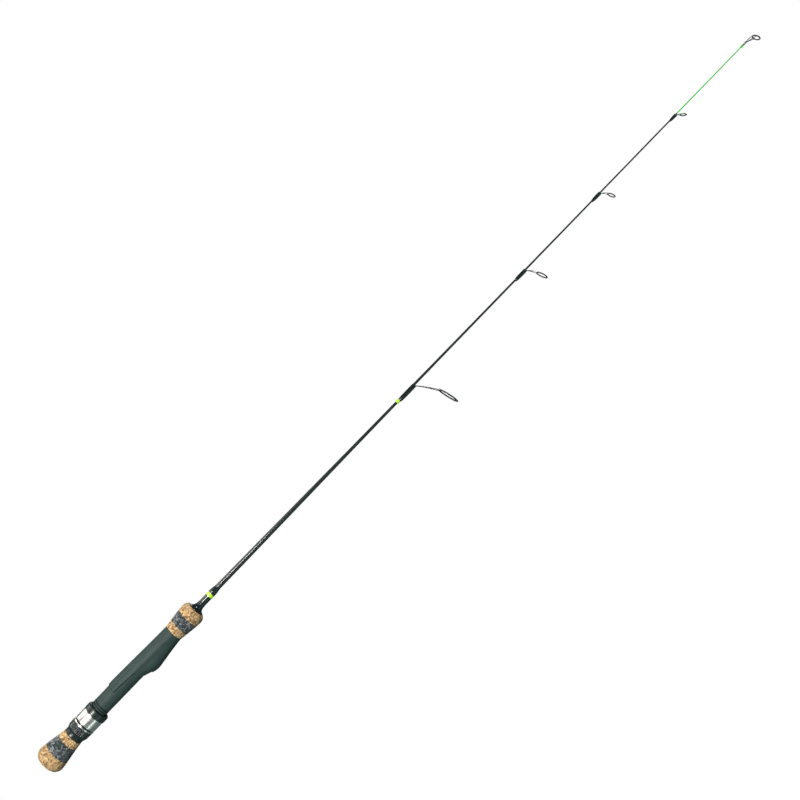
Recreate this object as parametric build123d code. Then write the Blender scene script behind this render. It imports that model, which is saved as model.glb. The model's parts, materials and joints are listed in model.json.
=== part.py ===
from build123d import *
import math
import os

# A one-piece spinning rod, 40 inches long, with a split cork handle and an up-locking reel seat.
# Row frame: +X runs along the rod towards the tip, +Z is up, and the reel and the line guides hang
# on the -Z side.  The origin is on the rod's axis, over the middle of the reel-foot bed.
# "Station" means millimetres from the butt end, along the axis.  Lengths are millimetres.

ORIGIN_STATION = 103.0        # the hand's place on the reel seat
BIG = 60.0                    # half size of a cutting block, larger than any part it trims
OVERRUN = 1.0                 # how far a cutting tool passes the face that it opens

# ---- blank: a hollow tapered graphite tube, and its solid glass tip --------------------------
BLANK_START = 4.0
BLANK_END = 895.5
BLANK_OUTLINE = [(BLANK_START, 3.30), (231.0, 2.88), (340.0, 2.24), (434.0, 1.66),
                 (547.0, 1.28), (690.0, 0.98), (BLANK_END, 0.78)]
SPIGOT_START = 870.5
SPIGOT_R = 0.42
BORE_OUTLINE = [(BLANK_START, 2.40), (231.0, 2.00), (434.0, 1.00), (600.0, 0.56),
                (SPIGOT_START, SPIGOT_R), (BLANK_END, SPIGOT_R)]
TIP_END = 1003.6
TIP_REAR_R = 0.62
TIP_FRONT_R = 0.55

# ---- rear grip: three rings of cork ----------------------------------------------------------
BUTT_FACE_R = 9.4
BUTT_CURVE = [(0.0, BUTT_FACE_R), (2.3, 12.7), (6.4, 14.4), (14.5, 13.4), (28.3, 11.0), (35.6, 10.05)]
BUTT_RING_ENDS = [0.0, 14.5, 28.3, 35.6]

# ---- reel seat -------------------------------------------------------------------------------
SEAT_START = 39.3
SEAT_END = 170.2
SEAT_BORE_R = 5.6
END_RING_R = 9.9
END_RING_GROOVE_DEPTH = 0.5
END_RING_GROOVE_WIDTH = 0.9
THREAD_END = 76.8
THREAD_PITCH = 2.5            # one groove for each turn of the nut
THREAD_MAJOR_R = 9.55
THREAD_MINOR_R = 8.90
GROOVE_FLOOR_WIDTH = 1.1
GROOVE_MOUTH_WIDTH = 1.6
BARREL_R = 9.45
STEP_STATION = 93.4           # where the raised palm side begins
LOWER_CURVE = [(STEP_STATION, 9.45), (120.0, 9.40), (150.0, 9.25), (SEAT_END, 9.30)]
UPPER_CURVE = [(STEP_STATION, 10.45), (98.0, 10.63), (122.0, 10.25), (148.0, 9.65), (SEAT_END, 9.30)]
CREASE_REAR_Z = 1.5           # the palm side's lower edge falls from here
CREASE_FRONT_Z = -1.4         # to here
CREASE_FRONT_STATION = 140.0
BED_Z = -8.4                  # flat that the reel foot lies on
BED_START = 51.5
BED_END = 141.0               # back wall of the fixed hood's pocket
LAND_START = 70.5             # the foot rests on a land between the two hoods
LAND_END = 121.5
BED_RELIEF = 0.1              # the bed is cut this much deeper under the hoods
KEYWAY_HALF_WIDTH = 1.5
KEYWAY_FLOOR_Z = 8.2
KEYWAY_END = 88.0
HOOD_SECTION_R = 8.7          # the fixed hood is a row of round sections hung ever lower
HOOD_BOTTOMS = [(118.0, 8.8), (124.0, 10.4), (129.5, 12.3), (134.0, 13.4), (137.5, 13.65),
                (146.0, 12.5), (156.0, 11.0), (164.0, 10.0), (169.8, 9.2)]
HOOD_PEAK_BOTTOM = 13.65
HOOD_WALL = 1.05
POCKET_HALF_WIDTH = 4.6
POCKET_START = 122.0
ARBOR_SPANS = {"arbor_rear": (42.0, 62.0), "arbor_middle": (90.0, 112.0), "arbor_front": (146.0, 167.0)}

# ---- moving hood: a metal shell on a moulded liner --------------------------------------------
SHELL_START = 52.0
SHELL_END = 63.5
SHELL_R = 11.4
SHELL_WALL = 0.5
SHELL_LIP_R = 10.05           # the shell's rear edge turns in to the liner's sleeve
LIP_END = 69.9
LIP_R = 11.75
LIP_DROP = 0.2                # the mouth sits a little low, over the reel foot
LIP_ROUND = 1.3
LINER_BORE_R = 9.62
SLEEVE_START = 47.2
SLEEVE_R = 10.05
FLANGE_END = 48.9
FLANGE_R = 10.45
LINER_POCKET_START = 55.0
LINER_POCKET_HALF_WIDTH = 4.8
LINER_POCKET_R = 10.35
MOUTH_POCKET_R = 10.85
KEY_START = 56.0
KEY_END = 66.0
KEY_PLAY = 0.10

# ---- locking nut -----------------------------------------------------------------------------
NUT_START = 39.6
NUT_END = 49.2
NUT_REAR_R = 10.5
NUT_SHOULDER_R = 11.3
NUT_SHOULDER_STATION = 42.6
NUT_FRONT_R = 11.5
NUT_BORE_R = 9.62
NUT_COUNTERBORE_START = 46.9
NUT_COUNTERBORE_R = 10.52
FLUTE_COUNT = 36
FLUTE_R = 0.42
FLUTE_CENTRE_R = 11.55
TRIM_END = 50.6
TRIM_R = 11.6
TRIM_BORE_R = 10.12

# ---- fore grip and the dressing in front of it ------------------------------------------------
FORE_CURVE = [(SEAT_END, 9.5), (177.7, 10.6), (189.4, 12.0), (194.6, 12.3), (198.2, 11.4), (200.4, 9.3)]
FORE_RING_ENDS = [SEAT_END, 177.7, 189.4, 200.4]
CHECK_CURVE = [(200.9, 8.4), (202.6, 5.5), (204.8, 4.3), (209.5, 3.75)]
CHECK_END = 209.5
FORE_BAND_START = 218.1
FORE_BAND_END = 221.5
FORE_WRAP_END = 230.4
FORE_WRAP_R = 3.78
FORE_BAND_R = 3.86
FORE_FRONT_WRAP_R = 3.90
WRAP_TAPER = 1.6              # length of the varnish ramp at a wrap's free end
RAMP_TOP_SHARE = 0.96         # radii along that ramp, as shares of the wrap's radius
RAMP_END_SHARE = 0.78

# ---- line guides: station and drop of the ring centre, ring sizes and lean, wrap's span and size ---
GUIDES = {
    "guide_1": dict(centre=521.5, drop=31.9, band_r=11.7, hole_r=10.3, lean=11.5,
                    wrap=(484.0, 505.4), wrap_r=2.43, wrap_drop=0.65),
    "guide_2": dict(centre=675.6, drop=15.7, band_r=6.5, hole_r=5.35, lean=17.0,
                    wrap=(652.4, 667.6), wrap_r=2.05, wrap_drop=0.33),
    "guide_3": dict(centre=785.4, drop=10.1, band_r=4.6, hole_r=3.6, lean=21.0,
                    wrap=(766.3, 779.0), wrap_r=1.90, wrap_drop=0.22),
    "guide_4": dict(centre=899.5, drop=5.7, band_r=3.7, hole_r=2.75, lean=43.0,
                    wrap=(884.6, 894.2), wrap_r=1.70, wrap_drop=0.25),
}
GUIDE_BAND_START = 480.4      # trim band behind the first guide's wrap
TRIM_BAND_WALL = 0.45
WRAP_END_STEP = 0.15
BAND_BASE_WALL = 0.30         # a band's wall and width grow with its radius
BAND_WALL_RATE = 0.02
BAND_BASE_WIDTH = 0.80
BAND_WIDTH_RATE = 0.04
CERAMIC_PROUD = 1.25          # the ceramic ring is this much wider than its band
CERAMIC_ROUND = 0.30          # corner radius, as a share of the ceramic's depth
BAND_HOLE_LENGTH = 4.0        # length of the tool that clears a band, in band widths
BAND_EDGE_SHARE = 0.3         # rounding of a band's edges, as a share of its wall
LEG_SINK_SHARE = 0.6          # how deep a leg's end sits in the band, as a share of its wall
FOOT_THICKNESS = 0.5
FOOT_SADDLE = 0.25            # how far the foot's hollow side reaches round the blank
FOOT_TAIL_SHARE = 0.22        # the foot's point lies this far along the wrap
FOOT_POINT_SHARE = 0.35       # half width of the point, as a share of the foot's own
FOOT_BASE_HALF_WIDTH = 0.55   # a foot's half width grows with its ring
FOOT_HALF_WIDTH_RATE = 0.05
FOOT_SHOULDER = 2.0           # the foot is full width from here, before the wrap's end
FOOT_OVERHANG = 0.8           # it shows this far past the wrap's end
WIRE_BASE_R = 0.30            # a leg's wire grows with its ring
WIRE_RATE = 0.022
LEG_HALF_GAP = 0.25
LEG_HEEL = 1.2                # a leg starts this far inside the wrap
LEG_BEND = 0.9                # and bends this far past it
LEG_BEND_R = 0.9
LEG_TOP_ANGLE = 38.0          # where a leg meets the ring, from the ring's top
TIP_RING = dict(centre=1014.0, drop=4.35, band_r=4.4, hole_r=3.4, lean=22.0)
TIP_TUBE_START = 997.8
TIP_TUBE_END = 1004.4
TIP_TUBE_R = 0.95
TIP_WIRE_R = 0.42
TIP_HEEL = 2.5                # the arm and the braces start this far inside the tube's end
TIP_ARM_REACH = 1.0
TIP_ARM_HEEL_Z = 0.45
TIP_ARM_BEND_Z = 0.35
TIP_ARM_BEND_R = 2.0
TIP_BRACE_REACH = 0.8
TIP_BRACE_HEEL = (0.35, -0.55)    # half gap and height of the braces at their heels
TIP_BRACE_BEND = (0.50, -0.65)    # and at their bends
TIP_BRACE_BEND_R = 1.5
TIP_BRACE_ANGLE = 88.0
TIP_WRAP_START = 994.4
TIP_WRAP_R = 1.15


def at(station):
    """X of a station."""
    return station - ORIGIN_STATION


def turned(edge_points, smooth=False):
    """A solid turned about the rod's axis, under an outline of (station, radius) points."""
    points = [(at(station), radius) for station, radius in edge_points]
    outline = Spline(points) if smooth else Polyline(points)
    rear = Line((points[0][0], 0), points[0])
    front = Line(points[-1], (points[-1][0], 0))
    floor = Line((points[-1][0], 0), (points[0][0], 0))
    return revolve(make_face([rear, outline, front, floor]), Axis.X)


def rod(start, end, radius):
    """A plain cylinder along the rod's axis."""
    return turned([(start, radius), (end, radius)])


def tube(start, end, outer, inner):
    return rod(start, end, outer) - rod(start - OVERRUN, end + OVERRUN, inner)


def block(start, end, half_width, low, high):
    """A block between two stations, centred on the rod's middle plane."""
    shape = Box(end - start, 2 * half_width, high - low)
    return Pos((at(start) + at(end)) / 2, 0, (low + high) / 2) * shape


def slab(start, end):
    return block(start, end, BIG, -BIG, BIG)


def write(name, shape):
    export_step(Compound(label=name, children=list(shape.solids())), f"parts/{name}.step")


def blank_core():
    """The blank's outer form, filled: everything on the rod is bored with it."""
    return turned(BLANK_OUTLINE)


def blank():
    return blank_core() - turned([(BLANK_START - OVERRUN, BORE_OUTLINE[0][1])] + BORE_OUTLINE[:-1]
                                 + [(BLANK_END + OVERRUN, SPIGOT_R)])


def tip_section():
    """Solid glass tip, glued into the blank by its spigot."""
    spigot = rod(SPIGOT_START, BLANK_END, SPIGOT_R)
    return spigot + turned([(BLANK_END, TIP_REAR_R), (TIP_END, TIP_FRONT_R)])


def stacked_rings(curve, ends, core):
    """One grip outline, parted into rings at the given stations and bored for the blank."""
    grip = turned(curve, smooth=True) - core
    return [grip & slab(start, end) for start, end in zip(ends, ends[1:])]


def seat_end_ring(core):
    """Collar between the cork and the seat, with a shallow groove in front."""
    start = BUTT_RING_ENDS[-1]
    body = rod(start, SEAT_START, END_RING_R)
    groove_start = SEAT_START - END_RING_GROOVE_WIDTH
    groove = tube(groove_start, SEAT_START + OVERRUN, BIG, END_RING_R - END_RING_GROOVE_DEPTH)
    return body - groove - core


def barrel():
    """Threaded stretch and smooth stretch that the hood and the nut travel on."""
    floor = GROOVE_FLOOR_WIDTH / 2
    mouth = GROOVE_MOUTH_WIDTH / 2
    outline = [(SEAT_START, THREAD_MAJOR_R)]
    middle = SEAT_START + THREAD_PITCH / 2
    while middle + mouth < THREAD_END:
        outline += [(middle - mouth, THREAD_MAJOR_R), (middle - floor, THREAD_MINOR_R),
                    (middle + floor, THREAD_MINOR_R), (middle + mouth, THREAD_MAJOR_R)]
        middle += THREAD_PITCH
    outline += [(THREAD_END, THREAD_MAJOR_R), (THREAD_END, BARREL_R), (STEP_STATION, BARREL_R)]
    return turned(outline)


def fixed_hood():
    """Bulge moulded in one with the seat, round the pocket for the reel foot's front end."""
    sections = []
    for station, bottom in HOOD_BOTTOMS:
        plane = Plane(origin=(at(station), 0, HOOD_SECTION_R - bottom), x_dir=(0, 1, 0), z_dir=(1, 0, 0))
        sections.append(plane * Circle(HOOD_SECTION_R))
    return loft(sections)


def hood_pocket():
    """Space under the fixed hood, open towards the butt."""
    centre_z = HOOD_SECTION_R - HOOD_PEAK_BOTTOM
    round_roof = Pos(0, 0, centre_z) * rod(POCKET_START, BED_END, HOOD_SECTION_R - HOOD_WALL)
    return round_roof & block(POCKET_START, BED_END, POCKET_HALF_WIDTH, -BIG, BED_Z + BED_RELIEF)


def palm_side():
    """Raised upper side of the seat, ending in a step behind and a crease below."""
    outline = Polyline([(at(STEP_STATION), CREASE_REAR_Z), (at(CREASE_FRONT_STATION), CREASE_FRONT_Z),
                        (at(SEAT_END), CREASE_FRONT_Z), (at(SEAT_END), BIG), (at(STEP_STATION), BIG)],
                       close=True)
    upper_space = extrude(Plane.XZ * make_face(outline), BIG, both=True)
    return turned(UPPER_CURVE, smooth=True) & upper_space


def bed_space():
    """What is cut away below the bed: to the land's height, and deeper towards both hoods."""
    end = POCKET_START + OVERRUN
    space = block(BED_START, end, BIG, -BIG, BED_Z)
    space += block(BED_START, LAND_START, BIG, -BIG, BED_Z + BED_RELIEF)
    return space + block(LAND_END, end, BIG, -BIG, BED_Z + BED_RELIEF)


def seat_body():
    body = barrel() + turned(LOWER_CURVE, smooth=True) + palm_side() + fixed_hood()
    body -= bed_space()
    body -= hood_pocket()
    body -= block(BED_START, KEYWAY_END, KEYWAY_HALF_WIDTH, KEYWAY_FLOOR_Z, BIG)
    return body - rod(SEAT_START - OVERRUN, SEAT_END + OVERRUN, SEAT_BORE_R)


def arbor(start, end, core):
    """Filler ring that centres the blank in the seat."""
    return rod(start, end, SEAT_BORE_R) - core


def hood_shell():
    """Polished metal sleeve with its rear edge turned in."""
    body = rod(SHELL_START, SHELL_END, SHELL_R)
    body -= rod(SHELL_START + SHELL_WALL, SHELL_END + OVERRUN, SHELL_R - SHELL_WALL)
    return body - rod(SHELL_START - OVERRUN, SHELL_END, SHELL_LIP_R)


def hood_liner():
    """Moulded liner: sleeve and flange for the nut behind, rounded mouth for the foot in front."""
    sleeve = rod(SLEEVE_START, SHELL_START + SHELL_WALL, SLEEVE_R) + rod(SLEEVE_START, FLANGE_END, FLANGE_R)
    inside = rod(SHELL_START + SHELL_WALL, SHELL_END, SHELL_R - SHELL_WALL)
    mouth = Pos(0, 0, -LIP_DROP) * rod(SHELL_END, LIP_END, LIP_R)
    front_rim = mouth.edges().filter_by(GeomType.CIRCLE).sort_by(Axis.X)[-1]
    mouth = fillet(front_rim, LIP_ROUND)
    body = sleeve + inside + mouth - rod(SLEEVE_START - OVERRUN, LIP_END + OVERRUN, LINER_BORE_R)
    foot_space = block(LINER_POCKET_START, LIP_END + OVERRUN, LINER_POCKET_HALF_WIDTH, -BIG, BED_Z)
    body -= foot_space & rod(LINER_POCKET_START, SHELL_END + OVERRUN, LINER_POCKET_R)
    body -= foot_space & rod(SHELL_END, LIP_END + OVERRUN, MOUTH_POCKET_R)
    key_foot = KEYWAY_FLOOR_Z + KEY_PLAY
    key_root = LINER_BORE_R + KEY_PLAY
    return body + block(KEY_START, KEY_END, KEYWAY_HALF_WIDTH - KEY_PLAY, key_foot, key_root)


def nut_body():
    """Fluted nut, bored to run over the thread's crests, with a counterbore for the liner's flange."""
    body = turned([(NUT_START, NUT_REAR_R), (NUT_SHOULDER_STATION, NUT_SHOULDER_R), (NUT_END, NUT_FRONT_R)])
    flute = Pos(0, 0, FLUTE_CENTRE_R) * rod(NUT_SHOULDER_STATION, NUT_END + OVERRUN, FLUTE_R)
    for index in range(FLUTE_COUNT):
        body -= Rotation(360 / FLUTE_COUNT * index, 0, 0) * flute
    body -= rod(NUT_START - OVERRUN, NUT_END + OVERRUN, NUT_BORE_R)
    return body - rod(NUT_COUNTERBORE_START, NUT_END + OVERRUN, NUT_COUNTERBORE_R)


def winding_check(core):
    """Trumpet-shaped check between the cork and the wrap."""
    rear = FORE_RING_ENDS[-1]
    flange_station, flange_r = CHECK_CURVE[0]
    return rod(rear, flange_station, flange_r) + turned(CHECK_CURVE, smooth=True) - core


def plain_wrap(start, end, radius, core, ramp_end=False):
    """Thread wrap under varnish; a free front end ramps down to the blank."""
    if not ramp_end:
        return rod(start, end, radius) - core
    ramp = [(start, radius), (end - WRAP_TAPER, radius * RAMP_TOP_SHARE), (end, radius * RAMP_END_SHARE)]
    return turned(ramp) - core


def blank_radius(station):
    for (s0, r0), (s1, r1) in zip(BLANK_OUTLINE, BLANK_OUTLINE[1:]):
        if station <= s1:
            return r0 + (r1 - r0) * (station - s0) / (s1 - s0)
    return BLANK_OUTLINE[-1][1]


def leaned(shape, ring):
    """Puts a ring shape, made about the X axis, at its place and lean."""
    return Pos(at(ring["centre"]), 0, -ring["drop"]) * Rotation(0, -ring["lean"], 0) * shape


def band_sizes(ring):
    """Wall of the metal band, and its width, for a ring's size."""
    wall = BAND_BASE_WALL + BAND_WALL_RATE * ring["band_r"]
    width = BAND_BASE_WIDTH + BAND_WIDTH_RATE * ring["band_r"]
    return wall, width


def ring_band(ring):
    """Metal band that holds the ceramic ring."""
    wall, width = band_sizes(ring)
    section = Pos(0, ring["band_r"] - wall / 2) * RectangleRounded(width, wall, wall * BAND_EDGE_SHARE)
    return leaned(revolve(section, Axis.X), ring)


def ceramic_ring(ring):
    """Ceramic insert with rounded flanks and a short straight land inside."""
    wall, width = band_sizes(ring)
    outer = ring["band_r"] - wall
    depth = outer - ring["hole_r"]
    section = RectangleRounded(width * CERAMIC_PROUD, depth, depth * CERAMIC_ROUND)
    section = Pos(0, outer - depth / 2) * section
    return leaned(revolve(section, Axis.X), ring)


def band_hole(ring):
    """Clears whatever the legs leave inside a band."""
    wall, width = band_sizes(ring)
    return leaned(Rotation(0, 90, 0) * Cylinder(ring["band_r"] - wall, width * BAND_HOLE_LENGTH), ring)


def strut(points, bend_r, radius):
    """Round wire along straight runs joined by an arc."""
    path = FilletPolyline(*points, radius=bend_r)
    start = path @ 0
    plane = Plane(origin=start, z_dir=path % 0)
    return sweep(plane * Circle(radius), path=path)


def ring_point(ring, angle, radius):
    """A point on a ring's circle; angle is measured from the side nearest the blank."""
    lean = math.radians(ring["lean"])
    turn = math.radians(angle)
    up = radius * math.cos(turn)
    side = radius * math.sin(turn)
    return (at(ring["centre"]) - up * math.sin(lean), side, -ring["drop"] + up * math.cos(lean))


def guide_foot(ring, core):
    """Hollowed foot that lies along the blank under the wrap."""
    start, end = ring["wrap"]
    radius = blank_radius(end)
    tail_x = at(start + (end - start) * FOOT_TAIL_SHARE)
    shoulder_x = at(end - FOOT_SHOULDER)
    front_x = at(end + FOOT_OVERHANG)
    half = FOOT_BASE_HALF_WIDTH + FOOT_HALF_WIDTH_RATE * ring["band_r"]
    point = half * FOOT_POINT_SHARE
    outline = Polyline([(tail_x, -point), (tail_x, point), (shoulder_x, half), (front_x, half),
                        (front_x, -half), (shoulder_x, -half)], close=True)
    plate = extrude(make_face(outline), FOOT_THICKNESS + FOOT_SADDLE)
    return Pos(0, 0, -radius - FOOT_THICKNESS) * plate - core


def guide_frame(ring, core):
    """Foot, two spread legs and the leaning band, stamped in one piece."""
    wall, width = band_sizes(ring)
    wire = WIRE_BASE_R + WIRE_RATE * ring["band_r"]
    foot_end = ring["wrap"][1]
    foot_z = -blank_radius(foot_end) - FOOT_THICKNESS / 2
    frame = ring_band(ring) + guide_foot(ring, core)
    for side in (-1, 1):
        joint = ring_point(ring, LEG_TOP_ANGLE * side, ring["band_r"] - wall * (1 - LEG_SINK_SHARE))
        bend = (at(foot_end + LEG_BEND), LEG_HALF_GAP * side, foot_z)
        heel = (at(foot_end - LEG_HEEL), LEG_HALF_GAP * side, foot_z)
        frame += strut([heel, bend, joint], LEG_BEND_R, wire)
    return frame - band_hole(ring) - core


def guide_wrap(ring, core, frame):
    """Thread and varnish round the blank and the foot, hung low by the foot and ramped at both ends."""
    start, end = ring["wrap"]
    radius = ring["wrap_r"]
    ramped_r = radius - WRAP_END_STEP
    outline = [(start, ramped_r), (start + WRAP_TAPER, radius), (end - WRAP_TAPER, radius), (end, ramped_r)]
    return Pos(0, 0, -ring["wrap_drop"]) * turned(outline) - core - frame


def tip_top_frame(tip):
    """Tube with an upper arm and two side braces to the leaning band."""
    wall, width = band_sizes(TIP_RING)
    joint_r = TIP_RING["band_r"] - wall * (1 - LEG_SINK_SHARE)
    heel_x = at(TIP_TUBE_END - TIP_HEEL)
    frame = rod(TIP_TUBE_START, TIP_TUBE_END, TIP_TUBE_R) + ring_band(TIP_RING)
    arm_heel = (heel_x, 0, TIP_ARM_HEEL_Z)
    arm_bend = (at(TIP_TUBE_END + TIP_ARM_REACH), 0, TIP_ARM_BEND_Z)
    frame += strut([arm_heel, arm_bend, ring_point(TIP_RING, 0, joint_r)], TIP_ARM_BEND_R, TIP_WIRE_R)
    for side in (-1, 1):
        heel_y, heel_z = TIP_BRACE_HEEL
        bend_y, bend_z = TIP_BRACE_BEND
        heel = (heel_x, heel_y * side, heel_z)
        bend = (at(TIP_TUBE_END + TIP_BRACE_REACH), bend_y * side, bend_z)
        joint = ring_point(TIP_RING, TIP_BRACE_ANGLE * side, joint_r)
        frame += strut([heel, bend, joint], TIP_BRACE_BEND_R, TIP_WIRE_R)
    return frame - band_hole(TIP_RING) - tip


def main():
    os.makedirs("parts", exist_ok=True)
    core = blank_core()
    tip = tip_section()
    write("blank", blank())
    write("tip_section", tip)

    butt_names = ["butt_cork", "butt_charcoal_ring", "butt_upper_cork_ring"]
    for name, ring in zip(butt_names, stacked_rings(BUTT_CURVE, BUTT_RING_ENDS, core)):
        write(name, ring)
    fore_names = ["fore_rear_cork_ring", "fore_charcoal_ring", "fore_front_cork_ring"]
    for name, ring in zip(fore_names, stacked_rings(FORE_CURVE, FORE_RING_ENDS, core)):
        write(name, ring)

    write("seat_end_ring", seat_end_ring(core))
    write("seat_body", seat_body())
    for name, (start, end) in ARBOR_SPANS.items():
        write(name, arbor(start, end, core))
    write("hood_shell", hood_shell())
    write("hood_liner", hood_liner())
    write("nut_body", nut_body())
    write("nut_trim_ring", tube(NUT_END, TRIM_END, TRIM_R, TRIM_BORE_R))

    write("winding_check", winding_check(core))
    write("fore_wrap", plain_wrap(CHECK_END, FORE_BAND_START, FORE_WRAP_R, core))
    write("fore_trim_band", plain_wrap(FORE_BAND_START, FORE_BAND_END, FORE_BAND_R, core))
    write("fore_front_wrap", plain_wrap(FORE_BAND_END, FORE_WRAP_END, FORE_FRONT_WRAP_R, core, ramp_end=True))

    first_wrap = GUIDES["guide_1"]["wrap"][0]
    band_r = blank_radius(first_wrap) + TRIM_BAND_WALL
    write("guide_1_trim_band", plain_wrap(GUIDE_BAND_START, first_wrap, band_r, core))
    for name, ring in GUIDES.items():
        frame = guide_frame(ring, core + tip)
        write(f"{name}_frame", frame)
        write(f"{name}_ring", ceramic_ring(ring))
        write(f"{name}_wrap", guide_wrap(ring, core, frame))

    write("tip_wrap", rod(TIP_WRAP_START, TIP_TUBE_START, TIP_WRAP_R) - tip)
    write("tip_top_frame", tip_top_frame(tip))
    write("tip_top_ring", ceramic_ring(TIP_RING))


main()
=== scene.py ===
"""Looks for the spinning rod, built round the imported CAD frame.

Lengths at the top of this file and in the shape functions are millimetres; meshes are written in metres.
+X runs along the rod towards the tip, +Z is up, and the guides and the reel seat's bed face -Z.
"""

import functools
import json
import math

import bmesh
import bpy
from mathutils import Matrix, Vector, noise

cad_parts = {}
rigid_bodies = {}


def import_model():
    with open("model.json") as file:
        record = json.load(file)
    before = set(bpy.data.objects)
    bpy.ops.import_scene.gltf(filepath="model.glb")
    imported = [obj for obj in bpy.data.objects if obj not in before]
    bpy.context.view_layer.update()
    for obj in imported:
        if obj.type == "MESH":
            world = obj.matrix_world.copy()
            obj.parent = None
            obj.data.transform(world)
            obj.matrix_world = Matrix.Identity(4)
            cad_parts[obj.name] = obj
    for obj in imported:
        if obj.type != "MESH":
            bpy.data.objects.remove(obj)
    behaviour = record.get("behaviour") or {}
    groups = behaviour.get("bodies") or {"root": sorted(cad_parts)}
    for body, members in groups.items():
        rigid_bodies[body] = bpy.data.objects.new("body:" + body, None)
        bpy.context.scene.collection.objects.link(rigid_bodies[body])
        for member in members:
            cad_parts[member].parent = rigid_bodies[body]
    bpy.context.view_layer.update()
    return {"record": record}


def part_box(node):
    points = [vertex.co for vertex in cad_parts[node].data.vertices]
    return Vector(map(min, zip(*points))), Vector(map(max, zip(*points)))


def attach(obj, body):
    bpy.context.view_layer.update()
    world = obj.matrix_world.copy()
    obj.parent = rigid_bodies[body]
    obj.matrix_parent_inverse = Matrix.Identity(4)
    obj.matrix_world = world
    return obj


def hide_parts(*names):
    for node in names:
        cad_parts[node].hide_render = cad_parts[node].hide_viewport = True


MM = 0.001
TURN = 2 * math.pi

# ---- camera: looks at the rod from the side, rolled so that the rod runs up to the right --------
LENS = 47.475
SENSOR = 36.0
CAMERA_DISTANCE = 1047.2
CAMERA_AIM_X = 381.7          # where the optical axis meets the rod
CAMERA_AIM_Z = -0.7
CAMERA_YAW = math.radians(5.13)
CAMERA_ROLL = math.radians(45.9)

# ---- reel seat and nut ---------------------------------------------------------------------------
THREAD_PITCH = 2.5
THREAD_LENGTH = 37.5
THREAD_MAJOR_R = 9.55
THREAD_MINOR_R = 8.90
BARREL_R = 9.45
BED_Z = -8.4
BED_RELIEF = 0.1              # the bed is this much deeper under the hoods
POCKET_HALF_WIDTH = 4.6
KEYWAY_HALF_WIDTH = 1.5
KEYWAY_FLOOR_Z = 8.2
SEAT_BORE_R = 5.6
NUT_FLUTES = 36
NUT_FLUTE_DEPTH = 0.42

# ---- everything else -----------------------------------------------------------------------------
SKIN = 0.02                   # a visual surface lies this far inside its CAD solid
CORK_GRAIN = 0.62             # granules per millimetre
CORK_DEPTH = 0.45             # how deep the broken grain can go
TIP_REAR_R = 0.62
TIP_FRONT_R = 0.55
THREAD_RIPPLE_PITCH = 0.3     # of the wrapping thread
FLOOR_HALF = 7.0              # metres
FLOOR_Z = -0.9                # metres


def clear_scene():
    for item in list(bpy.data.objects):
        bpy.data.objects.remove(item, do_unlink=True)


clear_scene()
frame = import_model()


# =================================================================================== small helpers
@functools.cache
def span(node):
    """First and last X of a CAD node, in millimetres."""
    low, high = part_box(node)
    return low[0] / MM, high[0] / MM


@functools.cache
def radius_of(node):
    """Half the Y size of a CAD node, in millimetres."""
    low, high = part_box(node)
    return (high[1] - low[1]) / 2 / MM


def mix(a, b, t):
    return a + (b - a) * t


def ramp(x, start, end):
    """0 before start, 1 after end, and smooth between them."""
    t = min(max((x - start) / (end - start), 0.0), 1.0)
    return t * t * (3 - 2 * t)


def curve(points):
    """A smooth function through (x, value) points, flat beyond its ends."""
    def value(x):
        if x <= points[0][0]:
            return points[0][1]
        if x >= points[-1][0]:
            return points[-1][1]
        index = next(i for i in range(len(points) - 1) if x <= points[i + 1][0])
        before = points[max(index - 1, 0)]
        start = points[index]
        end = points[index + 1]
        after = points[min(index + 2, len(points) - 1)]
        width = end[0] - start[0]
        t = (x - start[0]) / width
        slope_start = (end[1] - before[1]) / (end[0] - before[0]) * width
        slope_end = (after[1] - start[1]) / (after[0] - start[0]) * width
        return ((2 * t**3 - 3 * t**2 + 1) * start[1] + (t**3 - 2 * t**2 + t) * slope_start
                + (3 * t**2 - 2 * t**3) * end[1] + (t**3 - t**2) * slope_end)
    return value


def stations(start, end, step):
    count = max(int(math.ceil((end - start) / step)), 1)
    return [mix(start, end, i / count) for i in range(count + 1)]


def mesh_object(name, points, faces):
    """A new smooth-shaded object from points in millimetres."""
    mesh = bpy.data.meshes.new(name)
    mesh.from_pydata([(x * MM, y * MM, z * MM) for x, y, z in points], [], faces)
    mesh.validate()
    mesh.shade_smooth()
    piece = bpy.data.objects.new(name, mesh)
    bpy.context.scene.collection.objects.link(piece)
    return piece


def ring_faces(rows, sides, closed=True):
    """Faces between neighbouring rows of points; closed also joins the last row to the first."""
    faces = []
    for row in range(rows if closed else rows - 1):
        here = row * sides
        following = (row + 1) % rows * sides
        for k in range(sides):
            beside = (k + 1) % sides
            faces.append((here + k, here + beside, following + beside, following + k))
    return faces


def outward(piece):
    """Makes all the faces look outward."""
    work = bmesh.new()
    work.from_mesh(piece.data)
    bmesh.ops.recalc_face_normals(work, faces=work.faces)
    work.to_mesh(piece.data)
    work.free()
    return piece


def sharpen(piece, degrees=35):
    """Keeps corners sharper than this angle crisp under smooth shading."""
    piece.data.set_sharp_from_angle(angle=math.radians(degrees))
    return piece


def shell(name, xs, outer, inner, sides=96, centre_z=0.0):
    """A closed sleeve about the rod's axis.

    outer and inner give the radius at (x, angle); angle 0 is straight up and 90 degrees is +Y.
    """
    points = []
    for radius_at, row in ((outer, xs), (inner, reversed(xs))):
        for x in row:
            for k in range(sides):
                angle = TURN * k / sides
                radius = radius_at(x, angle)
                points.append((x, radius * math.sin(angle), centre_z + radius * math.cos(angle)))
    return outward(mesh_object(name, points, ring_faces(2 * len(xs), sides)))


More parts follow.
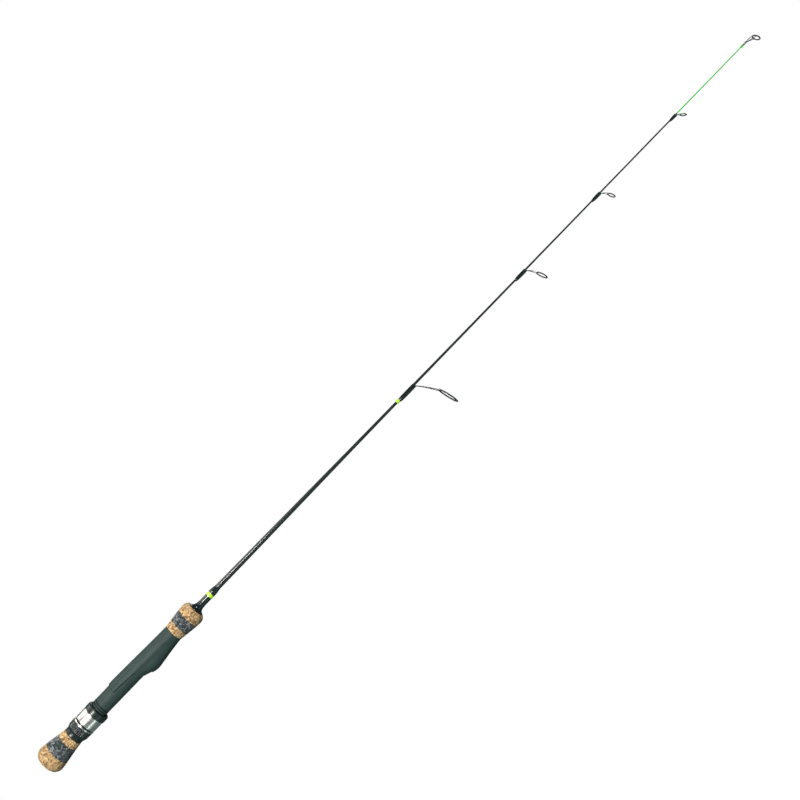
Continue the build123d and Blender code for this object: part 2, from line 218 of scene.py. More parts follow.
def turned(name, loop, sides=96):
    """A closed solid of revolution about the rod's axis, from a closed loop of (x, radius) points."""
    points = []
    for x, radius in loop:
        for k in range(sides):
            angle = TURN * k / sides
            points.append((x, radius * math.sin(angle), radius * math.cos(angle)))
    return outward(mesh_object(name, points, ring_faces(len(loop), sides)))


def rounded_loop(corners, steps=5):
    """A closed loop of (x, radius) points; a corner given as (x, radius, r) is rounded by r."""
    loop = []
    count = len(corners)
    for i, corner in enumerate(corners):
        here = Vector(corner[:2])
        rounding = corner[2] if len(corner) > 2 else 0.0
        if not rounding:
            loop.append(tuple(here))
            continue
        before = (Vector(corners[i - 1][:2]) - here).normalized()
        after = (Vector(corners[(i + 1) % count][:2]) - here).normalized()
        start = here + before * rounding
        end = here + after * rounding
        for step in range(steps + 1):
            t = step / steps
            loop.append(tuple(start * (1 - t)**2 + here * 2 * t * (1 - t) + end * t**2))
    return loop


def swept(points, sizes, sides, flat=1.0):
    """Points and faces of a capped bar along points; sizes are half widths, flat squeezes its thickness."""
    verts = []
    across = Vector((0, 1, 0))
    path = [Vector(p) for p in points]
    for i, place in enumerate(path):
        ahead = path[min(i + 1, len(path) - 1)] - path[max(i - 1, 0)]
        ahead.normalize()
        side = (across - ahead * across.dot(ahead)).normalized()
        up = ahead.cross(side)
        for k in range(sides):
            angle = TURN * k / sides
            offset = side * math.cos(angle) * sizes[i] + up * math.sin(angle) * sizes[i] * flat
            verts.append(tuple(place + offset))
    faces = ring_faces(len(path), sides, closed=False)
    faces.append(tuple(reversed(range(sides))))
    faces.append(tuple((len(path) - 1) * sides + k for k in range(sides)))
    return verts, faces


def bezier(a, b, c, d, count):
    """Points on a cubic curve."""
    a, b, c, d = (Vector(p) for p in (a, b, c, d))
    points = []
    for i in range(count + 1):
        t = i / count
        points.append(a * (1 - t)**3 + b * 3 * t * (1 - t)**2 + c * 3 * t**2 * (1 - t) + d * t**3)
    return points


def joined(name, parts):
    """One object from several (points, faces) pairs."""
    points = []
    faces = []
    for verts, polys in parts:
        base = len(points)
        points += [tuple(v) for v in verts]
        faces += [tuple(base + i for i in poly) for poly in polys]
    return outward(mesh_object(name, points, faces))


def apply_modifiers(piece):
    """Swaps a piece's mesh for the one that its modifiers make."""
    graph = bpy.context.evaluated_depsgraph_get()
    mesh = bpy.data.meshes.new_from_object(piece.evaluated_get(graph))
    old = piece.data
    piece.modifiers.clear()
    piece.data = mesh
    mesh.name = piece.name
    bpy.data.meshes.remove(old)
    return piece


def fused(piece, voxel):
    """Welds overlapping bars into one skin, with the small fillets of a brazed joint."""
    remesh = piece.modifiers.new("weld", "REMESH")
    remesh.mode = "VOXEL"
    remesh.voxel_size = voxel * MM
    remesh.use_smooth_shade = True
    relax = piece.modifiers.new("relax", "SMOOTH")
    relax.factor = 0.5
    relax.iterations = 3
    return apply_modifiers(piece)


# ======================================================================================= materials
class Graph:
    """A short way to write a material's nodes."""

    def __init__(self, name, **settings):
        self.material = bpy.data.materials.new(name)
        self.material.use_nodes = True
        self.tree = self.material.node_tree
        self.shader = self.tree.nodes["Principled BSDF"]
        for socket, value in settings.items():
            self.shader.inputs[socket.replace("_", " ")].default_value = value

    def node(self, kind, inputs=None, **settings):
        made = self.tree.nodes.new(kind)
        for key, value in settings.items():
            setattr(made, key, value)
        for key, value in (inputs or {}).items():
            self.plug(made.inputs[key], value)
        return made

    def plug(self, socket, value):
        if isinstance(value, bpy.types.NodeSocket):
            self.tree.links.new(value, socket)
        else:
            socket.default_value = value

    def place(self, stretch=(1.0, 1.0, 1.0)):
        """Object coordinates in millimetres, stretched."""
        coordinates = self.node("ShaderNodeTexCoord").outputs["Object"]
        scale = tuple(value / MM for value in stretch)
        return self.node("ShaderNodeMapping", {"Vector": coordinates, "Scale": scale}).outputs["Vector"]

    def noise(self, scale, detail=4.0, roughness=0.55, where=None):
        inputs = {"Vector": where or self.place(), "Scale": scale, "Detail": detail,
                  "Roughness": roughness}
        return self.node("ShaderNodeTexNoise", inputs).outputs["Fac"]

    def cells(self, scale, feature="F1", output="Distance", where=None):
        inputs = {"Vector": where or self.place(), "Scale": scale}
        return self.node("ShaderNodeTexVoronoi", inputs, feature=feature).outputs[output]

    def bands(self, scale, distortion, stretch):
        """Waves along the rod."""
        inputs = {"Vector": self.place(stretch), "Scale": scale, "Distortion": distortion, "Detail": 1.0}
        return self.node("ShaderNodeTexWave", inputs, bands_direction="X").outputs["Fac"]

    def stops(self, factor, *stops):
        """A colour ramp; each stop is (place, colour)."""
        made = self.node("ShaderNodeValToRGB", {"Fac": factor})
        elements = made.color_ramp.elements
        while len(elements) < len(stops):
            elements.new(0.5)
        for element, (place, colour) in zip(elements, stops):
            element.position = place
            element.color = (*colour, 1.0)
        return made.outputs["Color"]

    def range(self, value, low, high, to_low, to_high):
        inputs = {"Value": value, "From Min": low, "From Max": high, "To Min": to_low, "To Max": to_high}
        return self.node("ShaderNodeMapRange", inputs).outputs["Result"]

    def math(self, operation, a, b):
        return self.node("ShaderNodeMath", {0: a, 1: b}, operation=operation).outputs["Value"]

    def blend(self, factor, a, b, mode="MIX"):
        made = self.node("ShaderNodeMix", {"Factor": factor}, data_type="RGBA", blend_type=mode)
        for key, value in (("A", a), ("B", b)):
            socket = next(s for s in made.inputs if s.name == key and s.type == "RGBA")
            self.plug(socket, value if isinstance(value, bpy.types.NodeSocket) else (*value, 1.0))
        return next(s for s in made.outputs if s.type == "RGBA")

    def bump(self, height, strength, distance, under=None):
        inputs = {"Height": height, "Strength": strength, "Distance": distance * MM}
        if under is not None:
            inputs["Normal"] = under
        return self.node("ShaderNodeBump", inputs).outputs["Normal"]

    def done(self, colour=None, roughness=None, normal=None, coat_normal=None):
        wires = {"Base Color": colour, "Roughness": roughness, "Normal": normal,
                 "Coat Normal": coat_normal}
        for socket, value in wires.items():
            if value is not None:
                self.plug(self.shader.inputs[socket], value)
        return self.material


def cork(name, tones, seam, speck):
    """Pressed cork: granules of several tones, dark seams between them, pores and specks."""
    graph = Graph(name, Specular_IOR_Level=0.25, Sheen_Weight=0.15, Sheen_Roughness=0.6)
    warp = graph.noise(0.7, 3.0)
    sway = graph.node("ShaderNodeCombineXYZ", {"X": warp, "Y": warp, "Z": warp}).outputs["Vector"]
    moved = graph.node("ShaderNodeVectorMath", {0: graph.place(), 1: sway}, operation="ADD")
    drift = moved.outputs["Vector"]
    granule = graph.cells(CORK_GRAIN, output="Color", where=drift)
    tone = graph.node("ShaderNodeSeparateColor", {"Color": granule}).outputs["Red"]
    colour = graph.stops(tone, *tones)
    mottling = graph.stops(graph.noise(1.9, 5.0, 0.7), (0.35, (0.72, 0.72, 0.72)),
                           (0.65, (1.18, 1.16, 1.12)))
    colour = graph.blend(0.75, colour, mottling, "MULTIPLY")
    edge = graph.cells(CORK_GRAIN, feature="DISTANCE_TO_EDGE", where=drift)
    gap = graph.range(edge, 0.0, 0.09, 1.0, 0.0)
    colour = graph.blend(graph.math("MULTIPLY", gap, 0.75), colour, seam)
    pore = graph.range(graph.noise(2.6, 2.0, 0.5), 0.64, 0.70, 0.0, 1.0)
    colour = graph.blend(graph.math("MULTIPLY", pore, 0.85), colour, speck)
    hollow = graph.math("ADD", gap, pore)
    rough = graph.range(graph.noise(1.2), 0.3, 0.7, 0.72, 0.92)
    fine = graph.bump(graph.noise(5.0, 6.0, 0.7), 0.35, 0.12)
    normal = graph.bump(graph.math("MULTIPLY", hollow, -1.0), 0.8, 0.22, fine)
    return graph.done(colour, rough, normal)


def burl_cork():
    """Brown cork of mixed granules."""
    tones = ((0.0, (0.20, 0.105, 0.045)), (0.25, (0.42, 0.245, 0.105)), (0.55, (0.66, 0.43, 0.20)),
             (0.8, (0.80, 0.57, 0.30)), (1.0, (0.85, 0.46, 0.16)))
    return cork("burl_cork", tones, (0.12, 0.065, 0.03), (0.07, 0.035, 0.018))


def charcoal_cork():
    """The same cork dyed dark."""
    tones = ((0.0, (0.010, 0.020, 0.020)), (0.35, (0.030, 0.048, 0.050)), (0.7, (0.11, 0.125, 0.14)),
             (1.0, (0.30, 0.31, 0.34)))
    return cork("charcoal_cork", tones, (0.010, 0.014, 0.015), (0.006, 0.008, 0.009))


def seat_composite():
    """Fibre-filled nylon: satin dark green-grey, a fine grain, flow marks, and painted shade that darkens the
    thread's grooves.
    """
    graph = Graph("seat_composite", Specular_IOR_Level=0.3)
    flow = graph.noise(0.5, 4.0, 0.6, graph.place((0.25, 1.0, 1.0)))
    colour = graph.stops(flow, (0.25, (0.015, 0.032, 0.032)), (0.55, (0.023, 0.046, 0.043)),
                         (0.8, (0.037, 0.058, 0.051)))
    fleck = graph.range(graph.noise(9.0, 2.0), 0.60, 0.72, 0.0, 0.5)
    colour = graph.blend(fleck, colour, (0.085, 0.10, 0.094))
    thread_end = span("seat_body")[0] + THREAD_LENGTH
    along = graph.node("ShaderNodeSeparateXYZ", {"Vector": graph.place()}).outputs["X"]
    radial = graph.node("ShaderNodeVectorMath", {0: graph.place((0.0, 1.0, 1.0))}, operation="LENGTH")
    threaded = graph.range(along, thread_end - 1.0, thread_end, 1.0, 0.0)
    # Painted shade: near-black colour laid into the thread's grooves, found by radius, where shadow would
    # fall.
    groove_shade = graph.range(radial.outputs["Value"], THREAD_MINOR_R + 0.05, THREAD_MAJOR_R - 0.1, 0.9, 0.0)
    colour = graph.blend(graph.math("MULTIPLY", threaded, groove_shade), colour, (0.003, 0.007, 0.007))
    rough = graph.range(graph.noise(1.3, 5.0), 0.3, 0.7, 0.52, 0.66)
    normal = graph.bump(graph.noise(4.5, 4.0, 0.65), 0.22, 0.10)
    return graph.done(colour, rough, normal)


def moulded_black(name, base, light, rough_low, rough_high, grain=0.05):
    """Moulded plastic with a faint grain, handling marks and slightly uneven gloss."""
    graph = Graph(name, Specular_IOR_Level=0.5)
    colour = graph.stops(graph.noise(0.9, 5.0), (0.3, base), (0.75, light))
    rough = graph.range(graph.noise(2.2, 6.0, 0.7), 0.3, 0.7, rough_low, rough_high)
    normal = graph.bump(graph.noise(6.0, 3.0), grain, 0.05)
    return graph.done(colour, rough, normal)


def polished_metal(name, colour_low, colour_high, rough_low, rough_high):
    """Turned and polished metal: fine circular lay, hairline scratches and a few dull patches."""
    graph = Graph(name, Metallic=1.0)
    lay = graph.noise(4.0, 2.0, 0.5, graph.place((1.0, 0.02, 0.02)))
    patches = graph.noise(0.35, 4.0)
    colour = graph.stops(patches, (0.3, colour_low), (0.7, colour_high))
    rough = graph.math("ADD", graph.range(lay, 0.3, 0.7, rough_low, rough_high),
                       graph.range(patches, 0.45, 0.75, 0.0, 0.08))
    scratch = graph.noise(3.0, 2.0, 0.5, graph.place((0.3, 3.0, 3.0)))
    normal = graph.bump(scratch, 0.03, 0.005, graph.bump(lay, 0.03, 0.005))
    return graph.done(colour, rough, normal)


def graphite():
    """Clear-coated carbon: dark cloth with spiral tape marks under gloss."""
    graph = Graph("graphite", Coat_Weight=1.0, Coat_Roughness=0.10, Specular_IOR_Level=0.1)
    tape = graph.bands(0.35, 0.6, (1.0, 0.15, 0.15))
    fibre = graph.noise(3.0, 3.0, 0.6, graph.place((0.15, 2.0, 2.0)))
    colour = graph.blend(graph.math("MULTIPLY", tape, 0.35), (0.006, 0.012, 0.011),
                         (0.014, 0.024, 0.022))
    colour = graph.blend(graph.range(fibre, 0.45, 0.7, 0.0, 0.4), colour, (0.024, 0.036, 0.033))
    rough = graph.range(fibre, 0.3, 0.7, 0.40, 0.52)
    ridges = graph.bump(tape, 0.1, 0.01)
    return graph.done(colour, rough, ridges)


def thread_wrap(name, dark, light, coat=1.0):
    """Thread laid turn by turn under epoxy: fine ridges below, a slowly waving gloss above."""
    graph = Graph(name, Coat_Weight=coat, Coat_Roughness=0.08, Specular_IOR_Level=0.1)
    threads = graph.bands(0.9, 0.15, (1.0, 0.02, 0.02))
    colour = graph.stops(threads, (0.1, dark), (0.9, light))
    stain = graph.stops(graph.noise(0.8, 4.0), (0.35, (0.85, 0.85, 0.85)), (0.7, (1.1, 1.1, 1.1)))
    colour = graph.blend(0.6, colour, stain, "MULTIPLY")
    rough = graph.range(graph.noise(2.0), 0.3, 0.7, 0.25, 0.36)
    ridges = graph.bump(threads, 0.3, 0.04)
    return graph.done(colour, rough, ridges, graph.bump(graph.noise(0.35, 1.0), 0.08, 0.06))


def glass_tip():
    """Solid glass fibre, painted bright green under a clear coat, with fibres just showing."""
    graph = Graph("glass_tip", Coat_Weight=0.1, Coat_Roughness=0.15, Specular_IOR_Level=0.05)
    fibre = graph.noise(2.0, 4.0, 0.6, graph.place((0.06, 2.5, 2.5)))
    colour = graph.stops(fibre, (0.3, (0.001, 0.46, 0.001)), (0.7, (0.003, 0.62, 0.003)))
    rough = graph.range(fibre, 0.3, 0.7, 0.28, 0.42)
    return graph.done(colour, rough, graph.bump(fibre, 0.1, 0.02))


def ceramic():
    """Dark polished ceramic."""
    graph = Graph("guide_ceramic", Coat_Weight=0.3, Coat_Roughness=0.03, Specular_IOR_Level=0.6)
    colour = graph.stops(graph.noise(3.0, 4.0), (0.3, (0.030, 0.031, 0.034)),
                         (0.7, (0.055, 0.056, 0.060)))
    rough = graph.range(graph.noise(5.0), 0.3, 0.7, 0.10, 0.18)
    return graph.done(colour, rough, graph.bump(graph.noise(8.0), 0.05, 0.01))


def foam():
    """Closed-cell foam of the arbors."""
    graph = Graph("arbor_foam", Specular_IOR_Level=0.2)
    cell = graph.cells(1.8, feature="DISTANCE_TO_EDGE")
    colour = graph.stops(cell, (0.0, (0.45, 0.42, 0.33)), (0.3, (0.66, 0.63, 0.52)))
    rough = graph.range(graph.noise(2.0), 0.3, 0.7, 0.8, 0.95)
    return graph.done(colour, rough, graph.bump(cell, 0.4, 0.1))


def floor_surface():
    """White paper, lit from within so that it stays as pale as the room."""
    graph = Graph("floor_paper", Specular_IOR_Level=0.1, Emission_Color=(1, 1, 1, 1),
                  Emission_Strength=0.95)
    colour = graph.stops(graph.noise(0.01, 5.0), (0.3, (0.86, 0.86, 0.86)),
                         (0.7, (0.90, 0.90, 0.90)))
    rough = graph.range(graph.noise(0.05), 0.3, 0.7, 0.85, 0.95)
    return graph.done(colour, rough, graph.bump(graph.noise(0.4, 4.0), 0.05, 0.2))


MATERIALS = {
    "burl": burl_cork(),
    "charcoal": charcoal_cork(),
    "seat": seat_composite(),
    "plastic": moulded_black("black_plastic", (0.007, 0.014, 0.014), (0.018, 0.030, 0.030), 0.24, 0.38),
    "gloss": moulded_black("black_gloss", (0.003, 0.008, 0.008), (0.007, 0.014, 0.014), 0.08, 0.16, 0.02),
    "hood": polished_metal("hood_metal", (0.82, 0.78, 0.73), (0.90, 0.87, 0.82), 0.26, 0.33),
    "guide": polished_metal("guide_metal", (0.09, 0.09, 0.10), (0.17, 0.17, 0.165), 0.14, 0.24),
    "graphite": graphite(),
    "wrap": thread_wrap("wrap_black", (0.002, 0.006, 0.006), (0.008, 0.016, 0.015)),
    "lime": thread_wrap("trim_lime", (0.38, 0.80, 0.02), (0.58, 0.98, 0.06), 0.6),
    "tip_green": thread_wrap("tip_wrap_green", (0.006, 0.42, 0.006), (0.02, 0.74, 0.02), 0.6),
    "tip": glass_tip(),
    "ceramic": ceramic(),
    "foam": foam(),
}


def dress(piece, body, look, *nodes):
    """Gives a finished piece its material and puts it on its body, in place of its CAD nodes."""
    piece.data.materials.clear()
    piece.data.materials.append(MATERIALS[look])
    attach(piece, body)
    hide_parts(*nodes)
    return piece


# ============================================================================================ cork
BLANK_CURVE = curve([(-99.0, 3.30), (128.0, 2.88), (237.0, 2.24), (331.0, 1.66),
                     (444.0, 1.28), (587.0, 0.98), (792.5, 0.78)])
BLANK_END = span("blank")[1]
BUTT_END = span("butt_cork")[0]
BUTT_PROFILE = curve([(BUTT_END, 9.4), (BUTT_END + 0.6, 10.9), (BUTT_END + 2.3, 12.8),
                      (BUTT_END + 6.4, 14.35), (BUTT_END + 14.5, 13.35), (BUTT_END + 28.3, 10.95),
                      (BUTT_END + 35.6, 10.0)])
FORE_START = span("fore_rear_cork_ring")[0]
FORE_PROFILE = curve([(FORE_START, 9.45), (FORE_START + 7.5, 10.55), (FORE_START + 19.2, 11.95),
                      (FORE_START + 24.4, 12.25), (FORE_START + 28.0, 11.35), (FORE_START + 30.2, 9.25)])


def cork_pits(x, y, z):
    """How far cork's surface is broken away at a point, in millimetres."""
    place = Vector((x, y, z))
    grain = noise.fractal(place * 1.1, 0.6, 2.0, 4)
    pit = noise.noise(place * 0.85 + Vector((7.3, 1.1, 4.2)))
    return CORK_DEPTH * (0.35 * abs(grain) + 1.6 * max(pit - 0.28, 0.0))


def cork_outline(start, end, profile, open_rear, open_front):
    """Closed outline of a cork ring, as (x, radius, 1 where the grain is broken and 0 where it's hidden)."""
    low = start + SKIN
    high = end - SKIN
    rear_hole = 0.05 if open_rear else BLANK_CURVE(start) + SKIN
    front_hole = BLANK_CURVE(end) + SKIN
    skin = []
    for x in (low, *stations(start + 0.06, end - 0.06, 0.28), high):
        bevel = 0.12 * (1 - ramp(min(x - start, end - x), 0.0, 0.25))
        skin.append((x, profile(x) - bevel, 1.0))
    rear_r = skin[0][1]
    front_r = skin[-1][1]
    steps = 32
    rear = [(low, mix(rear_hole, rear_r, i / steps), float(open_rear)) for i in range(steps)]
    front = [(high, mix(front_r, front_hole, i / steps), float(open_front)) for i in range(1, steps + 1)]
    core = []
    for i in range(1, 8):
        taper = ramp(i, 6.5, 7.5) if open_rear else i / 8
        core.append((mix(high, low, i / 8), mix(front_hole, rear_hole, taper), 0.0))
    return rear + skin + front + core


def cork_ring(node, look, profile, open_rear=False, open_front=False):
    """One ring of a grip: grain broken away on its open faces, and a hairline bevel at each end."""
    outline = cork_outline(*span(node), profile, open_rear, open_front)
    sides = 260
    points = []
    count = len(outline)
    for i, (x, radius, broken) in enumerate(outline):
        before = outline[i - 1]
        after = outline[(i + 1) % count]
        along = Vector((after[0] - before[0], after[1] - before[1])).normalized()
        for k in range(sides):
            angle = TURN * k / sides
            y = math.sin(angle)
            z = math.cos(angle)
            sunk = broken * cork_pits(x, y * radius, z * radius)
            r = max(radius - along.x * sunk, SKIN)
            points.append((x + along.y * sunk, r * y, r * z))
    piece = mesh_object(node + "_skin", points, ring_faces(count, sides))
    return dress(outward(piece), "rod", look, node)


def cork_grips():
    """The butt grip behind the seat and the fore grip in front of it."""
    cork_ring("butt_cork", "burl", BUTT_PROFILE, open_rear=True)
    cork_ring("butt_charcoal_ring", "charcoal", BUTT_PROFILE)
    cork_ring("butt_upper_cork_ring", "burl", BUTT_PROFILE)
    cork_ring("fore_rear_cork_ring", "burl", FORE_PROFILE)
    cork_ring("fore_charcoal_ring", "charcoal", FORE_PROFILE)
    cork_ring("fore_front_cork_ring", "burl", FORE_PROFILE, open_front=True)


# ======================================================================================= reel seat
SEAT_START, SEAT_END = span("seat_body")
STEP_X = SEAT_START + 54.1
THREAD_END = SEAT_START + THREAD_LENGTH
BED_START = SEAT_START + 12.2
LAND_START = SEAT_START + 31.2
LAND_END = SEAT_START + 82.2
MOUTH_X = SEAT_START + 82.7     # mouth of the fixed hood
POCKET_END = SEAT_START + 101.7
KEYWAY_END = SEAT_START + 48.7
LOWER = curve([(STEP_X, 9.45), (STEP_X + 26.6, 9.40), (STEP_X + 56.6, 9.25), (SEAT_END, 9.30)])
UPPER = curve([(STEP_X, 10.40), (STEP_X + 4.6, 10.60), (STEP_X + 28.6, 10.22), (STEP_X + 54.6, 9.62),
               (SEAT_END, 9.28)])
CREASE_Z = curve([(STEP_X, 1.5), (STEP_X + 46.6, -1.4)])
HOOD_R = 8.7
HOOD_DEPTH = 13.65
HOOD_WALL = 1.05
HOOD_BOTTOM = curve([(STEP_X + 24.6, 8.8), (STEP_X + 30.6, 10.38), (STEP_X + 36.1, 12.28),
                     (STEP_X + 40.6, 13.37), (STEP_X + 44.1, 13.62), (STEP_X + 52.6, 12.5),
                     (STEP_X + 62.6, 11.0), (STEP_X + 70.6, 10.0), (STEP_X + 76.4, 9.15)])


def thread_wave(x, angle):
    """1 on the crest of the seat's thread and 0 in its groove."""
    phase = (x - SEAT_START) / THREAD_PITCH - angle / TURN
    return abs((phase % 1.0) - 0.5) * 2


def seat_outline(x, angle):
    """The seat's outer radius: thread, barrel, raised palm side, bed, keyway and fixed hood."""
    down = -math.cos(angle)
    if x < THREAD_END:
        height = ramp(thread_wave(x, angle), 0.10, 0.85)
        radius = mix(THREAD_MINOR_R, THREAD_MAJOR_R - SKIN, height)
        radius = mix(radius, BARREL_R, ramp(x, THREAD_END - 1.2, THREAD_END))
    elif x < STEP_X - 0.6:
        radius = BARREL_R
    else:
        low = LOWER(x)
        above = low * math.cos(angle) - CREASE_Z(x)
        over = ramp(above, -0.5, 0.6) * ramp(x, STEP_X - 0.5, STEP_X + 0.3)
        radius = mix(low, UPPER(x), over)
    if down > 0 and x > STEP_X + 16:
        centre = HOOD_BOTTOM(x) - HOOD_R
        side = abs(centre * math.sin(angle))
        bump = centre * down + math.sqrt(HOOD_R**2 - side**2)
        blend_width = 0.5
        gap = bump - radius
        radius = radius + (gap + math.sqrt(gap * gap + blend_width**2)) / 2 - 0.03
        radius = min(radius, max(bump, LOWER(x)) + 0.2)
    if down > 0 and BED_START < x < MOUTH_X + 1.0:
        level = BED_Z if LAND_START < x < LAND_END else BED_Z + BED_RELIEF
        radius = min(radius, -level / max(down, 0.01))
    if down < 0 and BED_START < x < KEYWAY_END:
        if abs(radius * math.sin(angle)) < KEYWAY_HALF_WIDTH:
            radius = min(radius, KEYWAY_FLOOR_Z / -down)
    return radius


def pocket_tool():
    """Space under the fixed hood: a round roof over a flat floor, open towards the butt."""
    centre = HOOD_R - HOOD_DEPTH
    roof = HOOD_R - HOOD_WALL
    half = POCKET_HALF_WIDTH
    floor = BED_Z + BED_RELIEF
    outline = [(-half, floor)]
    for i in range(25):
        y = mix(-half, half, i / 24)
        outline.append((y, centre - math.sqrt(roof**2 - y * y)))
    outline.append((half, floor))
    count = len(outline)
    points = [(x, y, z) for x in (MOUTH_X - 9.0, POCKET_END) for y, z in outline]
    faces = ring_faces(2, count, closed=False)
    faces.append(tuple(range(count)))
    faces.append(tuple(reversed(range(count, 2 * count))))
    return outward(mesh_object("pocket_tool", points, faces))


def reel_seat():
    """The seat's moulding, with the pocket cut into its fixed hood."""
    xs = [*stations(SEAT_START + SKIN, THREAD_END + 0.5, 0.17),
          *stations(THREAD_END + 0.8, STEP_X - 0.9, 0.5),
          *stations(STEP_X - 0.7, STEP_X + 0.6, 0.12),
          *stations(STEP_X + 0.9, SEAT_END - SKIN, 0.45)]
    piece = shell("seat_moulding", xs, seat_outline, lambda x, angle: SEAT_BORE_R, sides=288)
    tool = pocket_tool()
    cut = piece.modifiers.new("pocket", "BOOLEAN")
    cut.operation = "DIFFERENCE"
    cut.object = tool
    cut.solver = "EXACT"
    apply_modifiers(piece)
    bpy.data.objects.remove(tool, do_unlink=True)
    sharpen(piece, 40)
    return dress(piece, "rod", "seat", "seat_body")


def seat_collar():
    """Dark collar behind the seat, with a groove at its front."""
    start, end = span("seat_end_ring")
    radius = radius_of("seat_end_ring")
    groove_r = radius - 0.5
    bore = BLANK_CURVE(start)
    loop = rounded_loop([(start + SKIN, bore), (start + SKIN, radius, 0.35), (end - 0.95, radius, 0.3),
                         (end - 0.85, groove_r), (end - SKIN, groove_r, 0.1), (end - SKIN, bore)])
    return dress(sharpen(turned("seat_collar", loop, 128)), "rod", "plastic", "seat_end_ring")


def arbors():
    """Foam rings that centre the blank inside the seat."""
    for node in ("arbor_rear", "arbor_middle", "arbor_front"):
        start, end = span(node)
        radius = radius_of(node) - SKIN
        bore = BLANK_CURVE(end) + SKIN
        loop = rounded_loop([(start, bore), (start, radius, 0.3), (end, radius, 0.3), (end, bore)])
        dress(sharpen(turned(node + "_foam", loop, 72)), "rod", "foam", node)


# ============================================================================= moving hood and nut
SHELL_START, SHELL_END = span("hood_shell")
LINER_START, LINER_END = span("hood_liner")
LINER_BORE = 9.62
SLEEVE_WALL = 0.5
SLEEVE_LIP_R = 10.07
FLANGE_LENGTH = 1.7
MOUTH_ROUND = 1.5
POCKET_START = LINER_START + 7.8
KEY_START = LINER_START + 8.8
KEY_END = LINER_START + 18.8
RING_BORE = 10.14


def hood_sleeve():
    """Polished sleeve: rear edge rolled in, front edge seated against the black mouth."""
    radius = radius_of("hood_shell")
    inside = radius - SLEEVE_WALL
    lip_end = SHELL_START + SLEEVE_WALL
    loop = rounded_loop([(SHELL_START, SLEEVE_LIP_R), (SHELL_START, radius, 0.6), (SHELL_END, radius, 0.18),
                         (SHELL_END, inside, 0.05), (lip_end, inside, 0.3), (lip_end, SLEEVE_LIP_R)], steps=8)
    return dress(sharpen(turned("hood_sleeve", loop, 192)), "hood", "hood", "hood_shell")


def liner_outer(x, angle):
    """The liner's outer radius, from the nut's flange to the rounded mouth."""
    if x < LINER_START + FLANGE_LENGTH:
        return 10.43 - 0.15 * (1 - ramp(x, LINER_START, LINER_START + 0.2))
    if x < SHELL_START + 0.45:
        return 10.03
    if x < SHELL_END + 0.05:
        return 10.87
    mouth = 11.75 - 0.2 * math.cos(angle) - SKIN
    nose = max(x - (LINER_END - MOUTH_ROUND), 0.0) / MOUTH_ROUND
    heel = max(SHELL_END + 0.35 - x, 0.0) / 0.3
    return mouth - 1.35 * (1 - math.sqrt(max(1 - nose * nose, 0.0))) - 0.3 * heel * heel


def liner_inner(x, angle):
    """The liner's bore, with the foot's pocket below and the key above."""
    down = -math.cos(angle)
    radius = LINER_BORE
    if down > 0 and x > POCKET_START:
        limit = mix(10.35, 10.85, ramp(x, SHELL_END - 1.0, SHELL_END + 1.5))
        side = abs(limit * math.sin(angle))
        radius = mix(limit, radius, ramp(side, POCKET_HALF_WIDTH, POCKET_HALF_WIDTH + 0.4))
        radius = mix(LINER_BORE, radius, ramp(x, POCKET_START, POCKET_START + 0.4))
    if down < 0 and KEY_START < x < KEY_END:
        if abs(radius * math.sin(angle)) < KEYWAY_HALF_WIDTH - 0.1:
            radius = (KEYWAY_FLOOR_Z + 0.1) / -down
    return radius


def hood_mouth():
    """The liner: rear flange, sleeve's seat and rounded mouth."""
    xs = [*stations(LINER_START, LINER_START + 1.65, 0.25), LINER_START + 1.72,
          *stations(LINER_START + 2.2, SHELL_START + 0.40, 0.5), SHELL_START + 0.5,
          *stations(SHELL_START + 1.0, SHELL_END, 0.5), SHELL_END + 0.06,
          *stations(SHELL_END + 0.12, LINER_END, 0.16)]
    piece = shell("hood_mouth", xs, liner_outer, liner_inner, sides=224)
    return dress(sharpen(piece, 45), "hood", "plastic", "hood_liner")


def nut_outline(x, angle):
    """Fluted grip with a coned rear shoulder."""
    start, end = span("nut_body")
    body = mix(10.5, 11.3, ramp(x, start, start + 3.0)) + 0.2 * ramp(x, start + 3.0, end)
    rim = 0.35 * (1 - ramp(x, start, start + 0.35))
    swing = 0.5 - 0.5 * math.cos(angle * NUT_FLUTES)
    flute = NUT_FLUTE_DEPTH * ramp(swing, 0.35, 0.95)
    along = ramp(x, start + 2.2, start + 3.2) * (1 - ramp(x, end - 0.45, end - 0.15))
    return body - rim - flute * along - SKIN


def nut_bore(x, angle):
    """Inside thread behind, plain counterbore in front."""
    start = span("nut_body")[0]
    if x > start + 7.3:
        return 10.54
    return mix(9.05, 9.66, ramp(thread_wave(x, angle), 0.35, 0.68))


def locking_nut():
    """The nut's body, with twelve points to each flute."""
    start, end = span("nut_body")
    xs = [*stations(start, start + 0.4, 0.1), *stations(start + 0.55, start + 7.25, 0.2), start + 7.35,
          *stations(start + 7.6, end - 0.5, 0.25), *stations(end - 0.4, end, 0.08)]
    piece = shell("nut_grip", xs, nut_outline, nut_bore, sides=NUT_FLUTES * 12)
    return dress(sharpen(piece, 50), "nut", "plastic", "nut_body")


def nut_ring():
    """Bright ring on the nut's front."""
    start, end = span("nut_trim_ring")
    radius = radius_of("nut_trim_ring")
    loop = rounded_loop([(start, RING_BORE), (start, radius, 0.3), (end, radius, 0.35),
                         (end, RING_BORE, 0.1)], steps=6)
    return dress(sharpen(turned("nut_bright_ring", loop, 192)), "nut", "hood", "nut_trim_ring")


